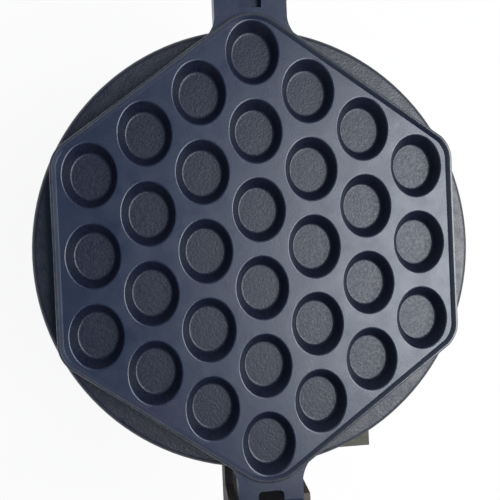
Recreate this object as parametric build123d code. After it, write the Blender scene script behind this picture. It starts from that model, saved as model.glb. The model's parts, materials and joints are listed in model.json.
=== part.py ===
from build123d import *
from math import acos, atan2, cos, degrees, hypot, radians, sin
import os

os.makedirs("parts", exist_ok=True)

# Countertop bubble waffle maker, lid open. X runs to the right, +Y to the front where the
# handle closes down, +Z up from the table. Sizes are in millimetres. While the pieces are
# made, X = Y = 0 is the middle of the lower baking plate. The export moves the whole machine
# along Y so that its origin is on the table under the middle of its length.

# Cell grid, the same in both plates
cells_in_column = (3, 4, 5, 6, 5, 4, 3)
pitch_x = 25.5
pitch_y = 36.5
mouth_x = 25.5
mouth_y = 31.0
floor_x = 18.8
floor_y = 21.8
cell_depth = 6.5

# Baking plates
plate_t = 10.0
plate_reach = 109.6
side_margin = 17.5
apex_round = 19.0
corner_round = 13.0
rim_w = 2.6
rim_h = 1.8
rim_chamfer = 0.7
plates_gap = 0.3

# Plate arms: the front ones meet at the latch, the rear ones make the hinge. Their lengths
# count from the root, which clears both the plate's tip and the disc
root_past_disc = 3.9
front_arm_w = 34.0
front_arm_len = 23.4
front_root_round = 12.0
rear_arm_w = 30.6
rear_root_round = 13.0
tongue_root_round = 5.0
lug_len = 27.0
lug_drop = 3.0
lug_chamfer = 3.0
key_w = 10.0
key_len = 9.0
key_from_end = 12.0
key_depth = 4.0
key_clear = 0.5

# Hinge
hinge_past_root = 24.4
knuckle_r = 9.0
fork_gap = 12.2
fork_depth = 20.6
knuckle_len = 16.0
tongue_clear = 0.3
pin_r = 4.0
pin_clear = 0.05
pin_head_r = 6.5
pin_head_t = 2.5
clip_r = 6.5
clip_t = 1.2
clip_clear = 0.3
lid_open = 100.0
stop_r = 3.0
stop_clear = 0.3
stop_along = 15.5
stop_overhang = 1.0

# Hinge bracket, folded from one steel strip
bracket_wall = 4.0
bracket_clear = 0.5
bracket_over_pan = 4.0
bracket_tail = 6.0
ear_drop = 14.0
ear_lift = 3.4
ear_step = 16.6
ear_slope = 1.0
ear_boss_r = 10.0
stop_boss_r = 6.5
bracket_bolt_r = 3.0
bracket_bolt_head_r = 5.0
bracket_bolt_head_t = 4.0
bracket_bolt_pitch = 20.0
bracket_bolt_tip = 1.0

# Heater housings, one under the lower plate and one behind the upper
disc_r = 105.7
pan_r = 89.0
pan_depth = 38.0
pan_wall = 3.0
pan_edge = 6.0
flange_t = 3.0
flange_lip = 5.0
flange_round = 2.0
pad_t = 4.5
pad_w = 40.0

# Heating elements, pressed to a flat-topped section
element_w = 8.0
element_top_w = 6.0
element_h = 7.0
element_gap = 0.9
element_leg_x = 32.0
element_leg_gap = 12.0
element_leg_out = 7.0
element_leg_drop = 8.0
element_leg_clear = 0.3
clamp_w = 12.0
clamp_t = 2.0
clamp_reach = 9.0
clamp_angles = (35.0, 145.0, 215.0)
mat_r = 60.0
mat_sides = 12
mat_t = 18.0

# Thermostat bulb under the lower plate
bulb_r = 3.0
bulb_len = 60.0
bulb_y = 20.0
capillary_r = 1.0
capillary_clear = 0.5
capillary_rise = 10.0
capillary_bend = 4.0
capillary_end_y = 70.0

# Terminal boxes behind the housings, on the right
box_left = 24.0
box_right = 52.5
box_out = 11.5
box_top_drop = 5.3
box_h = 26.0
box_wall = 1.2
box_seat = 0.3
ceramic_w = 24.0
ceramic_h = 18.0
ceramic_out = 3.0
conduit_r = 4.5
conduit_wall = 0.8
conduit_in = 1.0
lead_r = 1.5
lead_pitch = 4.5
gland_r = 9.0
gland_len = 12.0
gland_neck_r = 7.0
gland_nut_r = 9.5
gland_nut_t = 4.0
cord_r = 4.0
lid_gland_scale = 0.75
gland_room = 0.5

# Base
base_w = 150.0
base_back = 95.0
base_front = 85.0
base_h = 70.0
base_wall = 1.2
base_round = 12.0
tray_t = 1.5
tray_lip = 12.0
tray_clear = 0.2
foot_h = 12.0
foot_top_r = 12.0
foot_r = 10.0
foot_inset = 20.0
foot_recess = 4.0
foot_recess_r = 5.5
post_h = 14.0
post_r = 6.0
post_x = 52.0
post_y = 52.0
louvre_w = 3.0
louvre_h = 26.0
louvre_pitch = 9.0
louvres_a_side = 8
terminal_w = 24.0
terminal_room = 0.5
terminal_h = 20.0
gland_x = -45.0
gland_rise = 22.0

# Front panel and its controls
panel_w = 134.0
panel_h = 54.0
panel_t = 1.5
panel_round = 5.0
control_drop = 3.0
thermostat_x = -42.0
timer_x = 6.0
switch_x = 47.0
knob_r = 16.0
knob_skirt_r = 20.0
knob_skirt_t = 3.0
knob_h = 16.0
knob_gap = 0.6
knob_grip_w = 9.0
knob_chamfer = 1.0
spindle_r = 3.0
spindle_clear = 0.05
spindle_depth = 10.0
spindle_cap = 3.0
spindle_hole_clear = 0.8
control_w = 36.0
control_h = 34.0
control_d = 28.0
switch_w = 15.0
switch_h = 21.0
switch_wall = 2.0
switch_depth = 20.0
bezel_w = 2.0
bezel_t = 1.5
rocker_gap = 0.4
rocker_r = 4.0
rocker_out = 4.5
rocker_pivot_in = 1.5
rocker_half = 7.3
rocker_tilt = 10.0
trunnion_r = 1.5
trunnion_len = 1.2
trunnion_clear = 0.05
lamp_r = 4.0
lamp_out = 3.0
lamp_in = 14.0
lamp_rise = 19.0
lamp_pitch = 16.0
lamp_clear = 0.1

# Handle on the lid
tang_w = 16.0
tang_t = 5.0
tang_from_lug = 2.0
tang_out = 19.0
tang_screw_start = 5.0
tang_screw_pitch = 12.0
ferrule_r = 12.0
ferrule_lap = 2.0
ferrule_len = 12.0
grip_len = 108.0
grip_r = 14.0
grip_neck_r = 11.0
grip_tail_r = 12.5
grip_round = 3.0
rod_r = 4.0
rod_clear = 0.05
nut_r = 8.0
nut_h = 7.0
nut_dome = 2.0

# Latch hook on the right of the lower front arm
latch_from_end = 6.0
latch_drop = 6.0
latch_rise = 15.0
latch_t = 3.0
latch_gap = 0.4
latch_pin_r = 2.5
latch_pin_clear = 0.05
latch_head_r = 4.5
latch_head_t = 1.5
latch_boss_r = 6.5
latch_hook_r = 8.5
latch_slot_clear = 0.4
latch_entry = 45.0
latch_tail_y = 9.0
latch_tail_z = 17.0
latch_tail_r = 4.0
latch_swing = 170.0

# Screws
screw_r = 2.5
screw_head_r = 4.5
screw_head_h = 3.0
screw_bite = 7.0

# Heights that the stack gives
base_middle = foot_h + base_h / 2
base_top = foot_h + base_h
control_z = base_middle - control_drop
lamp_z = base_middle + lamp_rise
gland_z = foot_h + gland_rise
pan_floor = base_top + post_h
flange_top = pan_floor + pan_depth
face = flange_top + plate_t
pin_z = face + rim_h + plates_gap / 2
latch_z = face - latch_drop
stud_z = latch_z + latch_rise
box_top = flange_top - box_top_drop
box_bottom = box_top - box_h
bracket_bottom = pan_floor + bracket_over_pan
ear_low = flange_top - ear_drop
ear_high = flange_top + ear_lift
tang_z = 2 * pin_z - (flange_top - lug_drop)
rod_z = tang_z + tang_t / 2

# Places along the machine, from the middle of the plate outwards
arm_root = max(plate_reach, disc_r + root_past_disc)
front_arm_end = arm_root + front_arm_len
lug_start = front_arm_end - lug_len
key_end = front_arm_end - key_from_end
key_start = key_end - key_len
latch_y = front_arm_end - latch_from_end
tang_start = lug_start + tang_from_lug
tang_end = front_arm_end + tang_out
ferrule_start = tang_end - ferrule_lap
grip_start = ferrule_start + ferrule_len
grip_end = grip_start + grip_len
hinge_reach = arm_root + hinge_past_root
fork_start = hinge_reach - fork_depth
fork_rise = hinge_reach - knuckle_len
bracket_end = hinge_reach + bracket_tail
ear_rise_start = hinge_reach - ear_step
ear_rise_end = ear_rise_start + ear_slope
pad_reach = pan_r + pad_t
element_leg_end = pan_r + element_leg_out
ceramic_back = pan_r + ceramic_out
box_back = pan_r + box_out
conduit_y = pan_r - conduit_in
panel_face = base_front + panel_t
ear_inner = rear_arm_w / 2 + bracket_clear
ear_outer = ear_inner + bracket_wall


def block(x0, x1, y0, y1, z0, z1):
    """Square block between two corners."""
    size = Box(x1 - x0, y1 - y0, z1 - z0, align=(Align.MIN, Align.MIN, Align.MIN))
    return Pos(x0, y0, z0) * size


def rod(radius, start, end):
    """Round bar from one point to another."""
    way = Vector(*end) - Vector(*start)
    low = (Align.CENTER, Align.CENTER, Align.MIN)
    return Plane(origin=start, z_dir=way) * Cylinder(radius, way.length, align=low)


def bar_x(radius, x0, x1, y, z):
    return rod(radius, (x0, y, z), (x1, y, z))


def bar_y(radius, x, y0, y1, z):
    return rod(radius, (x, y0, z), (x, y1, z))


def bar_z(radius, x, y, z0, z1):
    return rod(radius, (x, y, z0), (x, y, z1))


def side_plate(sketch, x0, x1):
    """Plate cut to an outline drawn in (Y, Z) that lies between x0 and x1."""
    return Pos(x0, 0, 0) * extrude(Plane.YZ * sketch, x1 - x0)


def disc_at(y, z, radius):
    return Pos(y, z) * Circle(radius)


def joined(outlines):
    """Outline stretched round several discs, as a band would lie."""
    edges = [edge for outline in outlines for edge in outline.edges()]
    return make_hull(edges)


def over(shape):
    """The lid's counterpart of a piece of the lower half, with the lid shut."""
    return mirror(shape, about=Plane.XY.offset(pin_z))


def opened(shape):
    """A piece of the shut lid, turned back about the hinge pin to where it rests open."""
    return shape.rotate(Axis((0, -hinge_reach, pin_z), (1, 0, 0)), lid_open)


def screw_z(x, y, head_z, tip_z):
    """Pan-head screw along Z, its head beyond head_z."""
    out = screw_head_h if head_z > tip_z else -screw_head_h
    return bar_z(screw_r, x, y, tip_z, head_z) + bar_z(screw_head_r, x, y, head_z, head_z + out)


# Baking plates

def cell_centres():
    """Middles of the cells, column by column from the left."""
    middle = (len(cells_in_column) - 1) / 2
    places = []
    for column, count in enumerate(cells_in_column):
        for row in range(count):
            x = (column - middle) * pitch_x
            y = (row - (count - 1) / 2) * pitch_y
            places.append((x, y))
    return places


def hexagon(inset):
    """Outline of a plate, a given distance inside its outer edge."""
    apex_cell = (max(cells_in_column) - 1) / 2 * pitch_y
    side_cell = (cells_in_column[0] - 1) / 2 * pitch_y
    side_x = (len(cells_in_column) - 1) / 2 * pitch_x
    slope = (apex_cell - side_cell) / side_x
    steep = hypot(1, slope)
    apex = plate_reach + apex_round * (steep - 1) - inset * steep
    edge_x = side_x + side_margin - inset
    edge_y = apex - slope * edge_x
    points = [(0, apex), (edge_x, edge_y), (edge_x, -edge_y)]
    points += [(-x, -y) for x, y in points]
    outline = make_face(Polyline(*points, close=True))
    sides = outline.vertices().filter_by(lambda v: abs(v.X) > edge_x / 2)
    outline = fillet(sides, corner_round - inset)
    ends = outline.vertices().filter_by(lambda v: abs(v.X) < 1)
    return fillet(ends, apex_round - inset)


def arm_outline(width, end, root_round):
    """Plate outline with one arm, which reaches out along Y to end."""
    arm = Pos(0, end / 2) * Rectangle(width, abs(end))
    outline = hexagon(0) + arm
    root = outline.vertices().filter_by(
        lambda v: v.Y * end > 0 and abs(v.Y) < abs(end) - 1 and abs(abs(v.X) - width / 2) < 0.1)
    return fillet(root, root_round)


def cell_cutter():
    """Tapered oval pocket whose mouth lies on the plate's face."""
    floor = Pos(0, 0, face - cell_depth) * Ellipse(floor_x / 2, floor_y / 2)
    mouth = Pos(0, 0, face) * Ellipse(mouth_x / 2, mouth_y / 2)
    return loft([floor, mouth], ruled=True)


def rim():
    """Raised bead round the edge of a plate."""
    ring = Pos(0, 0, face) * extrude(hexagon(0) - hexagon(rim_w), rim_h)
    return chamfer(ring.faces().sort_by(Axis.Z)[-1].edges(), rim_chamfer)


def knuckle(width):
    """Rear end of an arm, swelling to the round boss on the hinge pin."""
    boss = disc_at(-hinge_reach, pin_z, knuckle_r)
    root = Line((-fork_rise, face), (-fork_rise, flange_top))
    whole = side_plate(make_hull(boss.edges() + root.edges()), -width / 2, width / 2)
    return whole - bar_x(pin_r + pin_clear, -width, width, -hinge_reach, pin_z)


def plate_screw_places():
    """Where the long screws reach a plate: in the webs between three cells."""
    side = (8 / 3 * pitch_x, pitch_y / 2)
    end = (-pitch_x / 3, 2 * pitch_y)
    return [side, end, (-side[0], -side[1]), (-end[0], -end[1])]


def front_lug():
    """Thicker end of the front arm, its far corner cut off."""
    half = front_arm_w / 2
    end = front_arm_end
    low = flange_top - lug_drop
    side = make_face(Polyline((lug_start, low), (end - lug_chamfer, low), (end, low + lug_chamfer),
                              (end, face), (lug_start, face), close=True))
    return side_plate(side, -half, half)


def plate_blank(rear_w, rear_round):
    """Plate with its cells, rim, front lug and rear arm, face up as in the lower half."""
    outline = arm_outline(front_arm_w, (lug_start + key_start) / 2, front_root_round)
    outline = outline + arm_outline(rear_w, -fork_rise, rear_round)
    body = Pos(0, 0, flange_top) * extrude(outline, plate_t)
    body = body + front_lug() + rim() + knuckle(rear_w)
    body = body - [Pos(x, y, 0) * cell_cutter() for x, y in cell_centres()]
    tips = [bar_z(screw_r, x, y, flange_top, flange_top + screw_bite)
            for x, y in plate_screw_places()]
    return body - tips


def lower_plate():
    """Lower plate: the forked rear arm holds the hinge pin, the front arm has the key pocket."""
    far = -hinge_reach - 2 * knuckle_r
    fork = block(-fork_gap / 2, fork_gap / 2, far, -fork_start, flange_top - 1, pin_z + 2 * knuckle_r)
    pocket = block(-key_w / 2, key_w / 2, key_start, key_end, face - key_depth, face)
    pivot = bar_x(latch_pin_r, 0, front_arm_w / 2, latch_y, latch_z)
    return plate_blank(rear_arm_w, rear_root_round) - fork - pocket - pivot


def upper_plate():
    """Upper plate: a tongue between the fork's sides, and a key that drops into the pocket."""
    blank = plate_blank(fork_gap - 2 * tongue_clear, tongue_root_round)
    half = key_w / 2 - key_clear
    key_top = 2 * pin_z - face + key_depth - key_clear
    key = block(-half, half, key_start + key_clear, key_end - key_clear, face, key_top)
    stud = bar_x(latch_pin_r, 0, front_arm_w / 2, latch_y, 2 * pin_z - stud_z)
    low = flange_top - lug_drop
    holes = [bar_z(screw_r, 0, y, low, low + screw_bite) for y in tang_screw_places()]
    return over(blank + key - stud - holes)


# Heater housings

def pan_profile():
    """Half section of a housing: floor, wall, flat flange and its turned-down lip."""
    inner = pan_r - pan_wall
    under = flange_top - flange_t
    section = make_face(Polyline(
        (0, pan_floor), (pan_r - pan_edge, pan_floor), (pan_r, pan_floor + pan_edge),
        (pan_r, under), (disc_r - flange_t, under), (disc_r - flange_t, flange_top - flange_lip),
        (disc_r, flange_top - flange_lip), (disc_r, flange_top - flange_round),
        (disc_r - flange_round, flange_top), (inner, flange_top),
        (inner, pan_floor + pan_wall), (0, pan_floor + pan_wall), close=True))
    return Plane.XZ * section


def leg_places():
    return [element_leg_x, element_leg_x + element_leg_gap]


def housing():
    """Cast pan that holds the heater, with a column for each long screw of its plate."""
    pan = revolve(pan_profile(), Axis.Z)
    for x, y in plate_screw_places():
        pan += bar_z(screw_r + pan_wall, x, y, pan_floor + pan_wall, flange_top)
    for x, y in plate_screw_places():
        pan -= bar_z(screw_r, x, y, pan_floor, flange_top)
    half = element_w / 2 + element_leg_clear
    high = flange_top - element_leg_drop + element_leg_clear
    low = high - element_h - 2 * element_leg_clear
    for x in leg_places():
        pan -= block(x - half, x + half, -pan_r, -pan_r / 2, low, high)
    return pan


def bolt_places():
    middle = (bracket_bottom + bracket_wall + ear_low) / 2
    return [(-bracket_bolt_pitch / 2, middle), (bracket_bolt_pitch / 2, middle)]


def lower_housing():
    """Housing under the lower plate, with the flat pad that carries the hinge bracket."""
    low = bracket_bottom
    high = flange_top - flange_t
    pad = block(-pad_w / 2, pad_w / 2, -pad_reach, 0, low, high)
    body = housing() + (pad - bar_z(pan_r - pan_wall, 0, 0, low, high))
    body -= [bar_y(bracket_bolt_r, x, -pad_reach, -pan_r + 2 * pan_wall, z)
             for x, z in bolt_places()]
    body -= [bar_z(screw_r, x, y, pan_floor, pan_floor + pan_wall) for x, y in post_places()]
    return body - capillary_hole(pan_floor, pan_floor + pan_wall)


def insulation():
    """Mineral wool mat on the housing floor, inside the ring of screws."""
    low = pan_floor + pan_wall
    return Pos(0, 0, low) * extrude(RegularPolygon(mat_r, mat_sides), mat_t)


def capillary_x():
    return -(bulb_len / 2 - bulb_r)


def capillary_hole(z0, z1):
    return bar_z(capillary_r + capillary_clear, capillary_x(), bulb_y, z0, z1)


def lower_insulation():
    return insulation() - capillary_hole(pan_floor, flange_top)


def element_section(x, z):
    """Section of the heating tube, its flat side up at height z and its middle at x."""
    top = element_top_w / 2
    wide = element_w / 2
    side = [(-top, 0), (top, 0), (wide, -element_h / 2), (top, -element_h),
            (-top, -element_h), (-wide, -element_h / 2)]
    return Plane.XZ * (Pos(x, z) * make_face(Polyline(*side, close=True)))


def ring_radius():
    """Radius of the heating ring, just inside the columns of the plate's long screws."""
    nearest = min(hypot(x, y) for x, y in plate_screw_places())
    return nearest - screw_r - pan_wall - element_gap - element_w / 2


def element():
    """Tubular heater: a ring against the back of the plate, whose ends step down and run out."""
    radius = ring_radius()
    starts = [(x, -(radius ** 2 - x ** 2) ** 0.5) for x in leg_places()]
    first, last = [degrees(atan2(y, x)) for x, y in starts]
    ring = revolve(element_section(radius, flange_top), Axis.Z, 360 - (last - first))
    heater = Rot(0, 0, last) * ring
    leg_z = flange_top - element_leg_drop
    for x, y in starts:
        leg = Pos(0, y, 0) * extrude(element_section(x, leg_z), element_leg_end + y)
        half = element_top_w / 2
        knee = block(x - half, x + half, y - half, y + half, leg_z - element_h, flange_top)
        heater = heater + leg + knee
    return heater


def element_clamps():
    """Bent strips that press the heating ring against the plate."""
    low = flange_top - element_h
    outer = ring_radius() + element_w / 2
    inner = ring_radius() - clamp_reach
    strips = []
    for angle in clamp_angles:
        strip = block(inner, outer, -clamp_w / 2, clamp_w / 2, low - clamp_t, low)
        foot = block(inner, inner + clamp_t, -clamp_w / 2, clamp_w / 2, low, flange_top)
        strips.append(Rot(0, 0, angle) * (strip + foot))
    return Compound(strips)


def plate_screws():
    """Long screws from the housing floor into the back of the plate."""
    return Compound([screw_z(x, y, pan_floor, flange_top + screw_bite)
                     for x, y in plate_screw_places()])


def box_middle():
    return (box_left + box_right) / 2


def box_screw_place():
    """Where the cover's screw goes into the ceramic, under the heater's right leg."""
    leg_bottom = flange_top - element_leg_drop - element_h
    return element_leg_x + element_leg_gap + 1, leg_bottom - screw_head_r


def terminal_box():
    """Folded steel cover over the heater's ends, open towards the housing wall."""
    outer = block(box_left, box_right, -box_back, -pan_r / 2, box_bottom, box_top)
    inner = block(box_left + box_wall, box_right - box_wall, -box_back + box_wall, 0,
                  box_bottom + box_wall, box_top - box_wall)
    x, z = box_screw_place()
    hole = bar_y(screw_r, x, -box_back, -box_back + box_wall, z)
    return outer - inner - bar_z(pan_r, 0, 0, box_bottom, box_top) - hole


def lower_box():
    """Terminal cover of the lower half, open below for the conduit."""
    way = bar_z(conduit_r, box_middle(), -conduit_y, box_bottom, box_bottom + box_wall)
    return terminal_box() - way


def terminal_ceramic():
    """Ceramic block that carries the heater's ends, seated on the housing wall."""
    high = box_top - box_wall - box_seat
    mid = box_middle()
    body = block(mid - ceramic_w / 2, mid + ceramic_w / 2, -ceramic_back, -pan_r / 2,
                 high - ceramic_h, high)
    body -= bar_z(pan_r, 0, 0, box_bottom, box_top)
    half = element_w / 2 + element_leg_clear
    leg_top = flange_top - element_leg_drop + element_leg_clear
    for x in leg_places():
        body -= block(x - half, x + half, -ceramic_back, 0,
                      leg_top - element_h - 2 * element_leg_clear, leg_top)
    x, z = box_screw_place()
    return body - bar_y(screw_r, x, -ceramic_back, -ceramic_back + screw_bite, z)


def box_screw():
    """Screw that holds the cover to the ceramic block."""
    x, z = box_screw_place()
    shank = bar_y(screw_r, x, -box_back, -ceramic_back + screw_bite, z)
    return shank + bar_y(screw_head_r, x, -box_back - screw_head_h, -box_back, z)


# Hinge

def stop_centre():
    """Where the stop bar lies so that the open lid's tongue rests on it."""
    root_y = hinge_reach - fork_rise
    root_z = pin_z - flange_top
    tangent = atan2(root_z, root_y) + acos(knuckle_r / hypot(root_y, root_z))
    out = tangent + radians(lid_open)
    reach = knuckle_r + stop_clear + stop_r
    y = reach * cos(out) + stop_along * sin(out)
    z = reach * sin(out) - stop_along * cos(out)
    return -hinge_reach + y, pin_z + z


def hinge_bracket():
    """Steel channel bolted to the housing, whose two ears carry the hinge pin and stop bar."""
    stop = stop_centre()
    boss = joined([disc_at(-hinge_reach, pin_z, ear_boss_r), disc_at(*stop, stop_boss_r)])
    web = make_face(Polyline(
        (-pad_reach, bracket_bottom), (-pad_reach, ear_low), (-ear_rise_start, ear_low),
        (-ear_rise_end, ear_high), (-hinge_reach, ear_high),
        (-hinge_reach - ear_boss_r, pin_z), (-bracket_end, bracket_bottom), close=True))
    body = side_plate(boss + web, -ear_outer, ear_outer)
    hollow = block(-ear_inner, ear_inner, -bracket_end - 3 * ear_boss_r,
                   -pad_reach - bracket_wall, bracket_bottom + bracket_wall, pin_z + 3 * ear_boss_r)
    body -= hollow
    body -= bar_x(pin_r + pin_clear, -ear_outer, ear_outer, -hinge_reach, pin_z)
    body -= bar_x(stop_r + pin_clear, -ear_outer, ear_outer, *stop)
    body -= [bar_y(bracket_bolt_r, x, -pad_reach - bracket_wall, -pad_reach, z)
             for x, z in bolt_places()]
    return body


def bracket_bolts():
    head = -pad_reach - bracket_wall
    bolts = []
    for x, z in bolt_places():
        shank = bar_y(bracket_bolt_r, x, head, -pan_r + pan_wall + bracket_bolt_tip, z)
        hexagon_head = extrude(Plane(origin=(x, head, z), z_dir=(0, -1, 0))
                               * RegularPolygon(bracket_bolt_head_r, 6), bracket_bolt_head_t)
        bolts.append(shank + hexagon_head)
    return Compound(bolts)


def hinge_pin():
    end = ear_outer + clip_clear + 2 * clip_t
    pin = bar_x(pin_r, -ear_outer, end, -hinge_reach, pin_z)
    return pin + bar_x(pin_head_r, -ear_outer - pin_head_t, -ear_outer, -hinge_reach, pin_z)


def hinge_clip():
    start = ear_outer + clip_clear
    ring = bar_x(clip_r, start, start + clip_t, -hinge_reach, pin_z)
    return ring - bar_x(pin_r + pin_clear, start, start + clip_t, -hinge_reach, pin_z)


def stop_bar():
    reach = ear_outer + stop_overhang
    return bar_x(stop_r, -reach, reach, *stop_centre())


# Base

def base_outline(inset):
    """Rounded outline of the base, a given distance inside its outer face."""
    sketch = RectangleRounded(base_w - 2 * inset, base_front + base_back - 2 * inset,
                              base_round - inset)
    return Pos(0, (base_front - base_back) / 2) * sketch


def post_places():
    return [(-post_x, -post_y), (post_x, -post_y), (-post_x, post_y), (post_x, post_y)]


def foot_places():
    x = base_w / 2 - foot_inset
    back = -base_back + foot_inset
    front = base_front - foot_inset
    return [(-x, back), (x, back), (-x, front), (x, front)]


def panel_cuts(y0, y1):
    """Holes for the spindles, the switch and the lamps, cut from y0 to y1."""
    spindle = spindle_r + spindle_hole_clear
    cuts = [bar_y(spindle, x, y0, y1, control_z) for x in (thermostat_x, timer_x)]
    cuts += [bar_y(lamp_r + lamp_clear, x, y0, y1, lamp_z) for x in lamp_places()]
    cuts.append(block(switch_x - switch_w / 2, switch_x + switch_w / 2, y0, y1,
                      control_z - switch_h / 2, control_z + switch_h / 2))
    return cuts


def lamp_places():
    return [switch_x - lamp_pitch / 2, switch_x + lamp_pitch / 2]


def louvres():
    """Air slots in both sides of the base."""
    slots = []
    z = base_middle - louvre_h / 2
    middle = (base_front - base_back) / 2
    for n in range(louvres_a_side):
        y = middle + (n - (louvres_a_side - 1) / 2) * louvre_pitch
        slots.append(block(-base_w, base_w, y - louvre_w / 2, y + louvre_w / 2, z, z + louvre_h))
    return slots


def base_shell():
    """Stainless box with an open bottom."""
    shell = Pos(0, 0, foot_h) * extrude(base_outline(0), base_h)
    shell -= Pos(0, 0, foot_h) * extrude(base_outline(base_wall), base_h - base_wall)
    shell -= louvres()
    shell -= panel_cuts(base_front - base_wall, base_front)
    under_top = base_top - base_wall
    shell -= [bar_z(screw_r, x, y, under_top, base_top) for x, y in post_places()]
    shell -= bar_z(conduit_r, box_middle(), -conduit_y, under_top, base_top)
    shell -= capillary_hole(under_top, base_top)
    shell -= bar_y(gland_neck_r, gland_x, -base_back, -base_back + base_wall, gland_z)
    return shell


def bottom_tray():
    """Bottom of the base, its edge turned up inside the shell."""
    inset = base_wall + tray_clear
    tray = Pos(0, 0, foot_h) * extrude(base_outline(inset), tray_lip)
    tray -= Pos(0, 0, foot_h + tray_t) * extrude(base_outline(inset + tray_t), tray_lip)
    tray += [bar_z(screw_r + tray_t, x, y, foot_h, foot_h + screw_bite) for x, y in foot_places()]
    tray -= [bar_z(screw_r, x, y, foot_h, foot_h + screw_bite) for x, y in foot_places()]
    return tray


def rubber_feet():
    """Tapered feet, recessed underneath for their screws."""
    feet = []
    for x, y in foot_places():
        foot = Pos(x, y, foot_h / 2) * Cone(foot_r, foot_top_r, foot_h)
        foot -= bar_z(foot_recess_r, x, y, 0, foot_recess)
        foot -= bar_z(screw_r, x, y, foot_recess, foot_h)
        feet.append(foot)
    return Compound(feet)


def foot_screws():
    return Compound([screw_z(x, y, foot_recess, foot_h + screw_bite) for x, y in foot_places()])


def support_posts():
    """Tubular stand-offs between the hot housing and the base."""
    posts = [bar_z(post_r, x, y, base_top, pan_floor) - bar_z(screw_r, x, y, base_top, pan_floor)
             for x, y in post_places()]
    return Compound(posts)


def post_screws():
    """Screws from inside the housing, through the posts, with their ends in the base."""
    head = pan_floor + pan_wall
    return Compound([screw_z(x, y, head, base_top - base_wall - screw_bite)
                     for x, y in post_places()])


def front_panel():
    sketch = RectangleRounded(panel_w, panel_h, panel_round)
    plane = Plane(origin=(0, panel_face, base_middle), x_dir=(-1, 0, 0), z_dir=(0, 1, 0))
    plate = extrude(plane * sketch, -panel_t)
    return plate - panel_cuts(base_front, panel_face)


def control_body(x):
    """Body of the thermostat or the timer behind the panel, bored for its spindle."""
    back = base_front - base_wall
    body = block(x - control_w / 2, x + control_w / 2, back - control_d, back,
                 control_z - control_h / 2, control_z + control_h / 2)
    return body - bar_y(spindle_r + spindle_clear, x, back - spindle_depth, back, control_z)


def spindle(x):
    back = base_front - base_wall - spindle_depth + spindle_hole_clear
    return bar_y(spindle_r, x, back, panel_face + knob_gap + knob_h - spindle_cap, control_z)


def knob(x):
    """Round skirt with a raised grip bar, bored for its spindle."""
    back = panel_face + knob_gap
    skirt = bar_y(knob_skirt_r, x, back, back + knob_skirt_t, control_z)
    core = bar_y(knob_r, x, back, back + knob_h, control_z)
    half = knob_grip_w / 2
    bar = core & block(x - half, x + half, back, back + knob_h, control_z - knob_r,
                       control_z + knob_r)
    bar = chamfer(bar.faces().sort_by(Axis.Y)[-1].edges(), knob_chamfer)
    bore_end = back + knob_h - spindle_cap
    return skirt + bar - bar_y(spindle_r + spindle_clear, x, back, bore_end, control_z)


def switch_frame():
    """Rocker switch housing with its bezel, open at the front for the rocker."""
    half_w = switch_w / 2
    half_h = switch_h / 2
    body = block(switch_x - half_w, switch_x + half_w, panel_face - switch_depth, panel_face,
                 control_z - half_h, control_z + half_h)
    body += block(switch_x - half_w - bezel_w, switch_x + half_w + bezel_w, panel_face,
                  panel_face + bezel_t, control_z - half_h - bezel_w,
                  control_z + half_h + bezel_w)
    inner_w = half_w - switch_wall
    inner_h = half_h - switch_wall
    back = panel_face - rocker_pivot_in - rocker_r - rocker_gap
    body -= block(switch_x - inner_w, switch_x + inner_w, back, panel_face + bezel_t,
                  control_z - inner_h, control_z + inner_h)
    reach = inner_w + trunnion_len
    return body - bar_x(trunnion_r + trunnion_clear, switch_x - reach, switch_x + reach,
                        panel_face - rocker_pivot_in, control_z)


def rocker():
    """Rocker on its two trunnions, tilted to OFF."""
    y = panel_face - rocker_pivot_in
    half = switch_w / 2 - switch_wall - rocker_gap
    top = Line((y + rocker_out, control_z - rocker_half), (y + rocker_out, control_z + rocker_half))
    side = make_hull(disc_at(y, control_z, rocker_r).edges() + top.edges())
    body = side_plate(side, switch_x - half, switch_x + half)
    reach = half + rocker_gap + trunnion_len - rocker_gap
    body += bar_x(trunnion_r, switch_x - reach, switch_x + reach, y, control_z)
    return body.rotate(Axis((0, y, control_z), (1, 0, 0)), -rocker_tilt)


def pilot_lamps():
    lamps = []
    for x in lamp_places():
        lens = bar_y(lamp_r, x, panel_face - lamp_in, panel_face + lamp_out, lamp_z)
        lamps.append(chamfer(lens.faces().sort_by(Axis.Y)[-1].edges(), lamp_r / 4))
    return Compound(lamps)


def terminal_block():
    """Mains terminal block on the tray, under the conduit and behind the feet's screws."""
    low = foot_h + tray_t
    x = box_middle()
    back = -base_back + base_wall + tray_clear + tray_t
    front = -base_back + foot_inset - screw_r - tray_t - terminal_room
    return block(x - terminal_w / 2, x + terminal_w / 2, back, front, low, low + terminal_h)


def lead_conduit():
    """Steel tube that takes the leads from the base up to the lower terminal box."""
    x = box_middle()
    low = base_top
    tube = bar_z(conduit_r + conduit_wall, x, -conduit_y, low, box_bottom)
    return tube - bar_z(conduit_r, x, -conduit_y, low, box_bottom)


def lower_leads():
    """Two stiff leads from the terminal block to the lower heater."""
    low = foot_h + tray_t + terminal_h
    high = terminal_ceramic().bounding_box().min.Z
    x = box_middle()
    return Compound([bar_z(lead_r, x + side * lead_pitch / 2, -conduit_y, low, high)
                     for side in (-1, 1)])


def gland(x, y, z, size):
    """Cord gland that points back from a wall whose outer face is at y."""
    wall = base_wall
    body = bar_y(gland_r * size, x, y - gland_len * size, y, z)
    body += bar_y(gland_neck_r * size, x, y, y + wall + gland_nut_t * size, z)
    nut = extrude(Plane(origin=(x, y + wall, z), z_dir=(0, 1, 0))
                  * RegularPolygon(gland_nut_r * size, 6), gland_nut_t * size)
    body += nut
    return body - bar_y(cord_r * size, x, y - gland_len * size, y + wall + gland_nut_t * size, z)


# Thermostat bulb

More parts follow.
